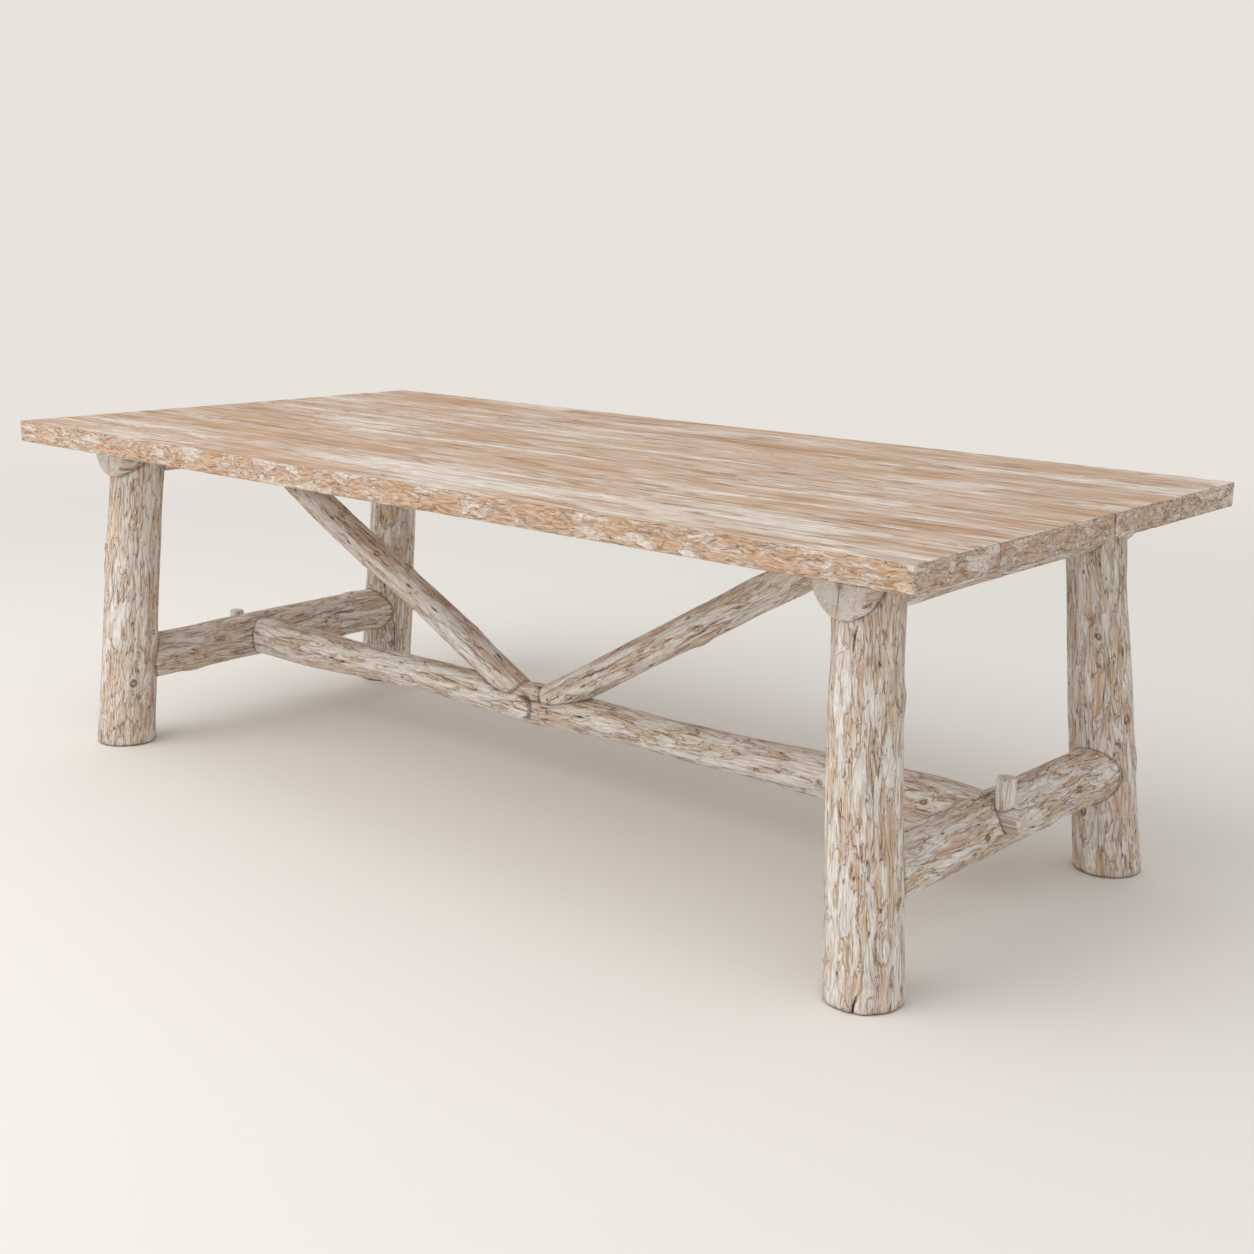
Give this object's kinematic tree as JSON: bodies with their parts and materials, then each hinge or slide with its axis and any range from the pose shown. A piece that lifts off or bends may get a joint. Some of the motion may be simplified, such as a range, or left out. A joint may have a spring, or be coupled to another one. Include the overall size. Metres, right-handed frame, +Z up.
{
  "type": "log dining table",
  "caption": "Rustic log dining table: a flat board top on splayed log trestles, tied by a long stretcher with tusk-pegged tenons and slanting braces.",
  "frame": {"origin": "on the floor, under the middle of the top", "axes": "+X along the top to the right, -Y to the front that the picture shows, +Z up"},
  "size_m": [2.4, 1.2, 0.78],
  "materials": {
    "limed_teak": "limed teak, white wash rubbed back to the tan wood, dry and matte",
    "steel": "plain steel screws and nails"
  },
  "bodies": {
    "table": {"front_board": "limed_teak", "second_board": "limed_teak", "third_board": "limed_teak", "fourth_board": "limed_teak", "back_board": "limed_teak", "tongue_1": "limed_teak", "tongue_2": "limed_teak", "tongue_3": "limed_teak", "tongue_4": "limed_teak", "front_left_leg": "limed_teak", "back_left_leg": "limed_teak", "front_right_leg": "limed_teak", "back_right_leg": "limed_teak", "left_bearer": "limed_teak", "left_end_stretcher": "limed_teak", "left_brace": "limed_teak", "right_bearer": "limed_teak", "right_end_stretcher": "limed_teak", "right_brace": "limed_teak", "long_stretcher": "limed_teak", "left_bearer_screws": "steel", "left_brace_screws": "steel", "left_brace_nails": "steel", "right_bearer_screws": "steel", "right_brace_screws": "steel", "right_brace_nails": "steel"},
    "left_tusk_peg": {"left_tusk_peg": "limed_teak"},
    "right_tusk_peg": {"right_tusk_peg": "limed_teak"}
  },
  "joints": [
    {"name": "left_peg_lift", "type": "slide", "parent": "table", "child": "left_tusk_peg", "axis": [0, 0, 1], "range_m": [0, 0.035]},
    {"name": "right_peg_lift", "type": "slide", "parent": "table", "child": "right_tusk_peg", "axis": [0, 0, 1], "range_m": [0, 0.035]}
  ]
}
